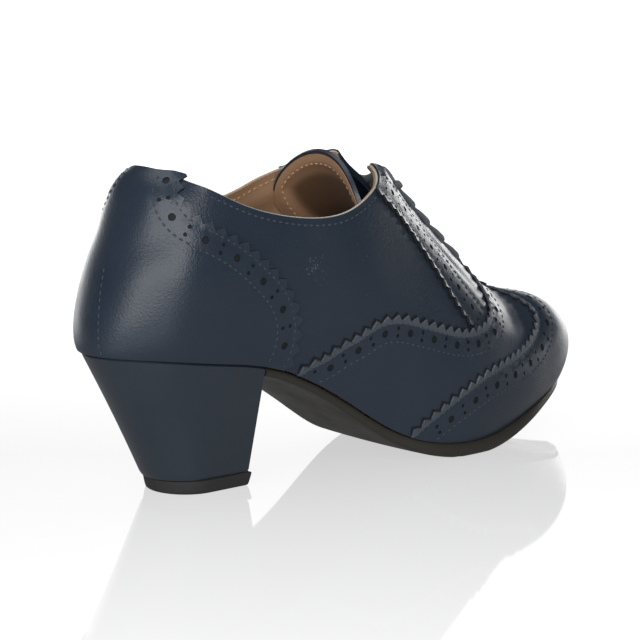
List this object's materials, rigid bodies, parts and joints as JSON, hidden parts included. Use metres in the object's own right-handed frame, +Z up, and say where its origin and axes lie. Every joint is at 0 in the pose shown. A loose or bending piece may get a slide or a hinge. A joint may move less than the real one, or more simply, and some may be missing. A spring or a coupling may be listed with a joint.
{
  "type": "heeled brogue shoe",
  "caption": "Right shoe of a heeled lace-up full brogue: low-cut hollow upper with lace gap and tongue, thin outsole with arch and toe spring, tapered covered block heel.",
  "frame": {"origin": "on the floor under the middle of the shoe", "axes": "+X towards the toe, +Y towards the inner side of the foot, +Z up"},
  "size_m": [0.2528, 0.0756, 0.1258],
  "materials": {
    "navy_leather": "satin grained",
    "heel_cover_leather": "satin",
    "heel_rubber": "matt",
    "sole_rubber": "matt",
    "insole_leather": "matt tan",
    "tongue_leather": "satin, tan lined",
    "lace_cotton": "woven"
  },
  "bodies": {
    "root": {"upper": "navy_leather", "outsole": "sole_rubber", "heel_block": "heel_cover_leather", "heel_top_piece": "heel_rubber", "insole": "insole_leather", "tongue": "tongue_leather", "lace": "lace_cotton"}
  },
  "joints": []
}
